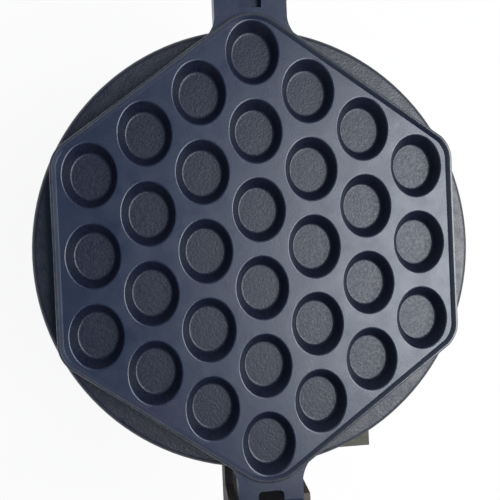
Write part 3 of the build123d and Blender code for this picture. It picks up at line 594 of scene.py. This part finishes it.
def front_arm_piece(with_pocket):
    """Front arm with its thicker end, and the key's pocket in the lower one."""
    bm = slab(arm_corners(front_arm, front_arm_end, 12, 2.5), flange_top, face)
    cut(bm, (0, thick_from, 0), (0, 1, 0))
    below = [f for f in bm.faces if f.calc_center_median().y > thick_from and f.normal.z < -0.9]
    new = bmesh.ops.extrude_face_region(bm, geom=below)["geom"]
    lowered = [g for g in new if isinstance(g, bmesh.types.BMVert)]
    bmesh.ops.translate(bm, verts=lowered, vec=(0, 0, -thicker_by))
    bmesh.ops.delete(bm, geom=below, context="FACES")
    if with_pocket:
        for x in (-pocket_half, pocket_half):
            cut(bm, (x, 0, 0), (1, 0, 0))
        for y in (pocket_start, pocket_end):
            cut(bm, (0, y, 0), (0, 1, 0))
    bmesh.ops.remove_doubles(bm, verts=bm.verts, dist=0.002)
    if with_pocket:
        inside = [f for f in bm.faces if f.normal.z > 0.9 and abs(f.calc_center_median().x) < pocket_half
                  and pocket_start < f.calc_center_median().y < pocket_end]
        for inset, rise in POCKET:
            bmesh.ops.inset_region(bm, faces=inside, thickness=inset, depth=rise, use_even_offset=True)
    bmesh.ops.recalc_face_normals(bm, faces=bm.faces)
    root = slant_y(front_arm, 0) - 1
    pocket_middle = (pocket_start + pocket_end) / 2
    return soften(bm, 1.2, 4, 50, lambda e: min(v.co.y for v in e.verts) > root and all(
        hypot(v.co.x, v.co.y - pocket_middle) > 8 for v in e.verts))


def rear_arm_piece(half, root_round, width, steps, notch=0.0, notch_at=0.0):
    """Rear arm from under the bead to where it swells to its knuckle; it points along -Y."""
    bm = slab(arm_corners(half, fork_rise, root_round, 0, notch, notch_at), flange_top, face)
    bm.transform(Matrix.Rotation(pi, 4, "Z"))
    root = -slant_y(half, 0) + 1
    end = -fork_rise + 0.1
    return soften(bm, width, steps, 50, lambda e: max(v.co.y for v in e.verts) < root
                  and min(v.co.y for v in e.verts) > end)


def knuckle(x0, x1):
    """End of a rear arm that swells to the boss on the hinge pin; it points along -Y."""
    centre = Vector((0, -hinge_reach, pin_z))
    high = (-fork_rise, face + lap)
    low = (-fork_rise, flange_top - lap)

    def touch(point, side):
        """Angle at which the line from a point touches the boss."""
        dy, dz = point[0] - centre.y, point[1] - centre.z
        return atan2(dz, dy) + side * acos(knuckle_r / hypot(dy, dz))

    start = touch(high, 1)
    end = touch(low, -1) + 2 * pi
    bm = bmesh.new()
    first = bm.verts.new((x0, centre.y + knuckle_r * cos(start), centre.z + knuckle_r * sin(start)))
    boss = bmesh.ops.spin(bm, geom=[first], cent=centre, axis=(1, 0, 0), angle=end - start, steps=30)
    last = [g for g in boss["geom_last"] if isinstance(g, bmesh.types.BMVert)][0]
    inner = -(fork_start - 1.5)
    rest = [bm.verts.new((x0, y, z)) for y, z in (low, (inner, low[1]), (inner, high[1]), high)]
    chain = [last] + rest + [first]
    for a, b in zip(chain, chain[1:]):
        bm.edges.new((a, b))
    bmesh.ops.contextual_create(bm, geom=bm.edges[:])
    side = bm.faces[:]
    new = bmesh.ops.extrude_face_region(bm, geom=side)["geom"]
    moved = [g for g in new if isinstance(g, bmesh.types.BMVert)]
    bmesh.ops.translate(bm, verts=moved, vec=(x1 - x0, 0, 0))
    bmesh.ops.recalc_face_normals(bm, faces=bm.faces)
    return soften(bm, 1.0, 4, 50, lambda e: max(v.co.y for v in e.verts) < inner - 0.1)


def baking_plate(name, node, arms, place=ROW):
    """Plate with its arms, coated all over, in its cells and on its rim."""
    made = piece(name, gather([plate_body()] + arms), node, angle=32, place=place)
    made.data.materials.append(IN_CELLS)
    made.data.materials.append(ON_RIM)


def baking_plates():
    """Lower plate with the hinge's fork, and the lid's plate with its tongue and its key."""
    cheeks = [knuckle(-rear_arm - lap, -fork_gap + lap), knuckle(fork_gap - lap, rear_arm + lap)]
    fork = rear_arm_piece(rear_arm, 13, 1.0, 4, fork_gap, fork_start)
    baking_plate("lower_baking_plate", "lower_plate", [front_arm_piece(True), fork] + cheeks)
    side = pocket_half - key_gap
    lower_face = 2 * pin_z - face
    key = block(-side, side, pocket_start + key_gap, pocket_end - key_gap, face - 2,
                lower_face + key_reach, 0.6)
    arm = rear_arm_piece(tongue, 5, 0.6, 3)
    parts = [front_arm_piece(False), arm, knuckle(-tongue - lap, tongue + lap), key]
    baking_plate("upper_baking_plate", "upper_plate", parts, LID_OVER)


# Heater housings

def arc(y, z, radius, start, end, steps):
    """Points of an arc in a lathe profile, angles in degrees from the radius direction."""
    turns = [radians(start + (end - start) * n / steps) for n in range(steps + 1)]
    return [(y + radius * cos(a), z + radius * sin(a)) for a in turns]


def pan():
    """Cast pan with its flat flange, whose edge curls down."""
    under = flange_top - 3
    profile = [(0, pan_floor), (60, pan_floor)]
    profile += arc(pan_r - 6, pan_floor + 6, 6, -90, 0, 8)
    profile += [(pan_r, under - 4)] + arc(pan_r + 3, under - 3, 3, 180, 90, 4)
    profile += [(disc_r - 4, under)] + arc(disc_r - 4, under - 1, 1, 90, 0, 3)
    profile += [(disc_r - 3, flange_top - 4.7), (disc_r - 2.6, flange_top - 5),
                (disc_r - 0.4, flange_top - 5), (disc_r, flange_top - 4.6)]
    profile += arc(disc_r - 2.6, flange_top - 2.6, 2.6, 0, 90, 7)
    profile += [(disc_r - 8, flange_top), (pan_r - 3, flange_top), (pan_r - 3, pan_floor + 4),
                (pan_r - 4, pan_floor + 3), (0, pan_floor + 3)]
    return turned(profile, 128)


def housings():
    """Both pans, the lower one with the pad that the hinge bracket is bolted to."""
    pad = block(*bracket_pad, 1.2)
    piece("lower_heater_housing", gather([pan(), pad]), "lower_housing", angle=30)
    piece("upper_heater_housing", pan(), "upper_housing", angle=30, place=LID_OVER)


# Screws

def screw(radius, height, shank_r, shank):
    """Pan-head screw about Z with a cross recess; its head stands on z = 0."""
    top = 0.45 * radius
    bm = bmesh.new()
    side = [(0, -shank), (shank_r, -shank), (shank_r, 0), (radius, 0), (radius, 0.30 * height),
            (0.95 * radius, 0.62 * height), (0.74 * radius, 0.88 * height), (top, 0.97 * height)]
    verts = [bm.verts.new((r, 0, h)) for r, h in side]
    edges = [bm.edges.new(pair) for pair in zip(verts, verts[1:])]
    bmesh.ops.spin(bm, geom=verts + edges, cent=(0, 0, 0), axis=(0, 0, 1), angle=2 * pi, steps=32,
                   use_merge=True)
    bmesh.ops.remove_doubles(bm, verts=bm.verts, dist=0.002)
    rim = [e for e in bm.edges if e.is_boundary]
    arm = 0.36 * radius
    half = 0.11 * radius
    z = 0.97 * height
    cross = [bm.verts.new((x, y, z)) for x, y in (
        (half, half), (half, arm), (-half, arm), (-half, half), (-arm, half), (-arm, -half),
        (-half, -half), (-half, -arm), (half, -arm), (half, -half), (arm, -half), (arm, half))]
    star = [bm.edges.new((cross[n - 1], cross[n])) for n in range(len(cross))]
    bmesh.ops.triangle_fill(bm, use_beauty=True, use_dissolve=False, edges=rim + star, normal=(0, 0, 1))
    inside = [f for f in bm.faces if all(v in cross for v in f.verts)]
    bmesh.ops.delete(bm, geom=inside, context="FACES")
    star = [e for e in bm.edges if e.is_boundary and e.is_valid]
    sunk = bmesh.ops.extrude_edge_only(bm, edges=star)["geom"]
    deep = [g for g in sunk if isinstance(g, bmesh.types.BMVert)]
    bmesh.ops.scale(bm, vec=(0.55, 0.55, 1), verts=deep)
    bmesh.ops.translate(bm, vec=(0, 0, -0.45 * height), verts=deep)
    bmesh.ops.contextual_create(bm, geom=[e for e in bm.edges if e.is_boundary])
    bmesh.ops.recalc_face_normals(bm, faces=bm.faces)
    return bm


def screws(name, node, spots, along, shank, place=ROW):
    """Screws at their spots, each turned another way."""
    made = []
    for n, spot in enumerate(spots):
        bm = screw(4.5, 3, 2.5, shank)
        bm.transform(at(*spot, along) @ Matrix.Rotation(0.7 + 1.3 * n, 4, "Z"))
        made.append(bm)
    piece(name, gather(made), node, place=place, angle=35)


def all_screws():
    """Screws of the plates, which stand between cells, of the handle, the covers and the feet."""
    side = (8 / 3 * pitch_x, pitch_y / 2)
    end = (-pitch_x / 3, 2 * pitch_y)
    spots = [(x, y, pan_floor) for x, y in (side, end, (-side[0], -side[1]), (-end[0], -end[1]))]
    screws("lower_plate_screws_slotted", "lower_plate_screws", spots, "-Z", 45)
    screws("upper_plate_screws_slotted", "upper_plate_screws", spots, "-Z", 45, LID_OVER)
    tang = [(0, y, rod_z + 2.5) for y in (113, 125)]
    screws("handle_screws_slotted", "handle_screws", tang, "Z", 12, LID)
    cover = [(45, cover_back, 114.5)]
    screws("lower_cover_screw", "lower_box_screw", cover, "-Y", 15.5)
    screws("upper_cover_screw", "upper_box_screw", cover, "-Y", 15.5, LID_OVER)
    feet = [(x, y, foot_recess) for x, y in foot_spots]
    screws("foot_screws_slotted", "foot_screws", feet, "-Z", 15)


# Handle

def handle():
    """Turned grip with two shallow grooves, its ferrule, the dome nut and the tang."""
    length = grip_end - grip_start
    near, belly, far = grip_radii
    side = []
    for n in range(31):
        t = n / 30
        y = 1.2 + t * (length - 4.4)
        swell = near * (1 - t) * (1 - 2 * t) + belly * 4 * t * (1 - t) + far * t * (2 * t - 1)
        side.append((swell, y))
    for place, depth in ((1, 0.6), (3, 0.5)):
        r, y = side[place]
        side[place] = (r - depth, y)
    profile = [(rod_bore, 0), (10.2, 0), (10.8, 0.4)] + side
    profile += arc(9.4, length - 3, 3, 5, 90, 6) + [(rod_bore, length)]
    grip = turned(profile, 72, at(0, grip_start, rod_z, "Y"))
    piece("turned_grip", grip, "handle_grip", place=LID, angle=50)
    ring = [(rod_bore, 0), (11.2, 0), (12, 0.8), (12, 3.4), (11.4, 3.9), (11.4, 4.6), (12, 5.1), (12, 11.2),
            (11.2, 12), (rod_bore, 12)]
    piece("grip_ferrule", turned(ring, 72, at(0, ferrule_start, rod_z, "Y")), "handle_ferrule", place=LID)
    dome = [(0, 0), (7.4, 0), (8, 0.6), (8, 2.6), (7.5, 3.2), (6.6, 3.4), (6.2, 4.6), (5.1, 5.8), (3.4, 6.6),
            (1.6, 6.95), (0, 7)]
    piece("grip_dome_nut", turned(dome, 48, at(0, grip_end, rod_z, "Y")), "handle_nut", place=LID)
    dressed("handle_tang", 0.7, 3)


# Controls

# Turns print that lies flat so that it stands upright on the front
FRONT = Matrix(((-1, 0, 0, 0), (0, 0, 1, 0), (0, 1, 0, 0), (0, 0, 0, 1)))


def words(name, node, items, y, material, size, place=ROW):
    """Print on the front: items are (text, x, z, turn in degrees), each a thin mesh."""
    whole = bmesh.new()
    for text, x, z, turn in items:
        curve = bpy.data.curves.new("print", "FONT")
        curve.body = text
        curve.size = size
        curve.align_x = "CENTER"
        curve.align_y = "CENTER"
        curve.extrude = 0.02
        lettered = bpy.data.objects.new("print", curve)
        bpy.context.scene.collection.objects.link(lettered)
        bpy.context.view_layer.update()
        final = lettered.evaluated_get(bpy.context.evaluated_depsgraph_get())
        flat = bpy.data.meshes.new_from_object(final)
        flat.transform(Matrix.Translation((x, y, z)) @ FRONT @ Matrix.Rotation(radians(turn), 4, "Z"))
        whole.from_mesh(flat)
        bpy.data.objects.remove(lettered)
        bpy.data.curves.remove(curve)
        bpy.data.meshes.remove(flat)
    piece(name, whole, node, material, keep=True, place=place)


def knob(title, labels):
    """Skirted knob with a finger bar, a pointer line and numbers round its skirt."""
    x = dial_x[title]
    back = panel_face + 0.6
    numbers_r = 17.9
    skirt = turned([(0, 0), (19.4, 0), (20, 0.6), (20, 1.5), (19.3, 2.6), (18.4, 3.0), (16.2, 3.0),
                    (15.8, 2.8), (15.4, 3.0), (0, 3.0)], 96, at(x, back, control_z, "Y"))
    bar = block(x - 4.5, x + 4.5, back + 2, back + 16, control_z - 15.3, control_z + 15.3)
    outer = [v for v in bar.verts if v.co.y > back + 10]
    bmesh.ops.scale(bar, vec=(0.72, 1, 0.93), space=Matrix.Translation((-x, 0, -control_z)), verts=outer)
    soften(bar, 1.3, 4)
    node = title + "_knob"
    piece(title + "_finger_knob", gather([skirt, bar]), node, angle=45)
    line = block(x - 0.6, x + 0.6, back + 15.9, back + 16.03, control_z + 3, control_z + 13.2)
    piece(title + "_pointer", line, node, PRINT, keep=True)
    numbers = [(text, x + numbers_r * sin(radians(turn)), control_z + numbers_r * cos(radians(turn)), turn)
               for text, turn in labels]
    words(title + "_numbers", node, numbers, back + 3.03, PRINT, 3.1)


def controls():
    """Dials with their marks and units, switch and lamps on the front panel."""
    knob("thermostat", [(str(50 * n), 45 * n) for n in range(7)])
    knob("timer", [(str(n), 60 * n) for n in range(6)])
    marks = []
    for x in dial_x.values():
        bm = bmesh.new()
        bmesh.ops.create_cone(bm, cap_ends=True, segments=3, radius1=1.7, radius2=1.7, depth=0.06,
                              matrix=Matrix.Translation((x, panel_face + 0.04, mark_z)) @ FRONT
                              @ Matrix.Rotation(radians(-90), 4, "Z"))
        marks.append(bm)
    piece("dial_marks", gather(marks), "front_panel", DARK_PRINT, keep=True)
    units = [("\u00b0C", dial_x["thermostat"], units_z, 0), ("min", dial_x["timer"], units_z, 0)]
    words("panel_units", "front_panel", units, panel_face + 0.03, DARK_PRINT, 3.4)
    dressed("front_panel", 0.5, 3)
    dressed("switch_frame", 0.5, 3)
    dressed("switch_rocker", 0.5, 3)
    axle = Matrix.Translation((0, rocker_axle, control_z))
    tilted = axle @ Matrix.Rotation(radians(rocker_tilt), 4, "X") @ axle.inverted()
    on_off = [("I", switch_x, control_z + 4, 0), ("O", switch_x, control_z - 4, 0)]
    words("rocker_marks", "switch_rocker", on_off, rocker_axle + 4.52, PRINT, 3.4, ROW @ tilted)
    lens = [(0, -14), (3.9, -14), (3.9, 1.4), (3.6, 2.2), (2.9, 2.7), (1.8, 2.93), (0, 3.0)]
    bezel = [(3.95, 0), (5.4, 0), (5.4, 0.5), (4.9, 1.0), (3.95, 1.0)]
    amber, green = [turned(lens, 40, at(x, panel_face, lamp_z, "Y")) for x in lamp_x]
    piece("amber_lamp", amber, "pilot_lamps", AMBER)
    piece("green_lamp", green, "pilot_lamps", GREEN, keep=True)
    rings = [turned(bezel, 40, at(x, panel_face, lamp_z, "Y")) for x in lamp_x]
    piece("lamp_bezels", gather(rings), "front_panel", BRIGHT, keep=True)


# Base and steel pieces

def gland(size):
    """Cord gland about Z, outwards from the wall at z = 0: body, dome and lock nut inside."""
    bore = 4.0
    body = turned([(bore, 0), (8.6, 0), (9, 0.4), (9, 2.6), (8.6, 3.0), (bore, 3.0)], 6)
    dome = turned([(bore, 2.9), (8.0, 2.9), (8.4, 3.4), (8.4, 8.6), (7.8, 10.2), (6.8, 11.4), (5.2, 12),
                   (bore, 12)], 48)
    neck = turned([(bore, -5.2), (7, -5.2), (7, 0.1), (bore, 0.1)], 40)
    nut = turned([(bore, -5.2), (9.5, -5.2), (9.5, -1.25), (bore, -1.25)], 6)
    whole = gather([body, dome, neck, nut])
    bmesh.ops.scale(whole, vec=(size, size, size), verts=whole.verts)
    return whole


def base():
    """Feet, cord glands, and the steel pieces with their edges softened."""
    foot = [(0, foot_recess), (5.5, foot_recess), (5.5, 0.4), (5.9, 0), (9.3, 0), (10.05, 0.6), (11.95, 11.4),
            (11.4, 12), (0, 12)]
    feet = [turned(foot, 48, at(x, y, 0)) for x, y in foot_spots]
    piece("tapered_feet", gather(feet), "rubber_feet")
    whole = gland(1)
    whole.transform(at(-45, -95, 34, "-Y"))
    piece("base_cord_gland", whole, "cord_gland")
    whole = gland(0.75)
    whole.transform(at(32.825, cover_back, 111.525, "-Y"))
    piece("lid_cord_gland", whole, "upper_gland", place=LID_OVER)
    dressed("hinge_bracket", 0.6, 3, BRACKET_STEEL)
    dressed("lower_terminal_box", 0.5, 3, COVER_SHEET)
    dressed("upper_terminal_box", 0.5, 3, COVER_SHEET)
    for node, width in (("base_shell", 0.4), ("bottom_tray", 0.4), ("bracket_bolts", 0.4),
                        ("latch_hook", 0.5), ("latch_pivot", 0.3), ("latch_stud", 0.3), ("hinge_clip", 0.2),
                        ("stop_bar", 0.5), ("hinge_pin", 0.5), ("support_posts", 0.3), ("lead_conduit", 0.2)):
        dressed(node, width)


housings()
all_screws()
handle()
controls()
base()
baking_plates()

for node in frame["nodes"]:
    painted(node)


# Room, light and camera

def seen_rays(tree):
    """One where a ray comes from the camera, or off metal or through glass."""
    path = tree.nodes.new("ShaderNodeLightPath")
    value = path.outputs["Is Camera Ray"]
    for kind in ("Is Glossy Ray", "Is Transmission Ray"):
        more = tree.nodes.new("ShaderNodeMath")
        more.operation = "MAXIMUM"
        tree.links.new(value, more.inputs[0])
        tree.links.new(path.outputs[kind], more.inputs[1])
        value = more.outputs["Value"]
    return value


def room():
    """Pale floor that the camera sees as white, with the shadow of the machine kept faintly."""
    white_share = 0.92
    bm = bmesh.new()
    bmesh.ops.create_grid(bm, x_segments=1, y_segments=1, size=6)
    mesh = bpy.data.meshes.new("floor")
    bm.to_mesh(mesh)
    bm.free()
    ground = bpy.data.objects.new("floor", mesh)
    bpy.context.scene.collection.objects.link(ground)
    made = bpy.data.materials.new("pale_floor")
    made.use_nodes = True
    nodes = made.node_tree.nodes
    links = made.node_tree.links
    nodes.remove(nodes["Principled BSDF"])
    matt = nodes.new("ShaderNodeBsdfDiffuse")
    matt.inputs["Color"].default_value = (0.85, 0.85, 0.85, 1)
    white = nodes.new("ShaderNodeEmission")
    share = nodes.new("ShaderNodeMath")
    share.operation = "MULTIPLY"
    share.inputs[1].default_value = white_share
    mix = nodes.new("ShaderNodeMixShader")
    links.new(seen_rays(made.node_tree), share.inputs[0])
    links.new(share.outputs["Value"], mix.inputs["Fac"])
    links.new(matt.outputs["BSDF"], mix.inputs[1])
    links.new(white.outputs["Emission"], mix.inputs[2])
    links.new(mix.outputs["Shader"], nodes["Material Output"].inputs["Surface"])
    mesh.materials.append(made)


def world():
    """Soft surroundings: pale walls round the machine under a dim blue-grey ceiling."""
    sky = bpy.data.worlds.new("studio")
    sky.use_nodes = True
    nodes = sky.node_tree.nodes
    links = sky.node_tree.links
    way = nodes.new("ShaderNodeTexCoord")
    parts = nodes.new("ShaderNodeSeparateXYZ")
    fade = nodes.new("ShaderNodeValToRGB")
    wall, ceiling = fade.color_ramp.elements
    wall.position = 0.22
    wall.color = (0.66, 0.66, 0.66, 1)
    ceiling.position = 0.55
    ceiling.color = (0.10, 0.14, 0.22, 1)
    links.new(way.outputs["Generated"], parts.inputs["Vector"])
    links.new(parts.outputs["Z"], fade.inputs["Fac"])
    links.new(fade.outputs["Color"], nodes["Background"].inputs["Color"])
    bpy.context.scene.world = sky


def softbox(name, spot, aim, size, power, colour):
    """Soft rectangular light that points at aim."""
    light = bpy.data.lights.new(name, "AREA")
    light.shape = "RECTANGLE"
    light.size, light.size_y = size
    light.energy = power
    light.color = colour
    lamp = bpy.data.objects.new(name, light)
    lamp.location = spot
    lamp.rotation_euler = (Vector(aim) - Vector(spot)).to_track_quat("-Z", "Y").to_euler()
    bpy.context.scene.collection.objects.link(lamp)


def camera():
    """The photograph's view: almost straight down on the open lower plate."""
    view = bpy.data.cameras.new("camera")
    view.sensor_width = 36
    view.lens = view.sensor_width * lens_length / picture_width
    view.clip_start = 0.01
    seen = bpy.data.objects.new("camera", view)
    roll, pitch, tip = [radians(angle) for angle in camera_turns]
    turn = Matrix.Rotation(roll, 3, "Z") @ Matrix.Rotation(pitch, 3, "Y") @ Matrix.Rotation(tip, 3, "X")
    place = turn.transposed().to_4x4()
    x, y, above = camera_spot
    place.translation = Vector((x, y + shift, face + above)) / 1000
    seen.matrix_world = place
    bpy.context.scene.collection.objects.link(seen)
    bpy.context.scene.camera = seen


room()
world()
middle = (0, shift / 1000, face / 1000)
softbox("key", (0.70, -0.02, 1.12), middle, (0.85, 0.95), 20, (1.0, 0.985, 0.96))
camera()
bpy.context.scene.view_settings.view_transform = "Standard"
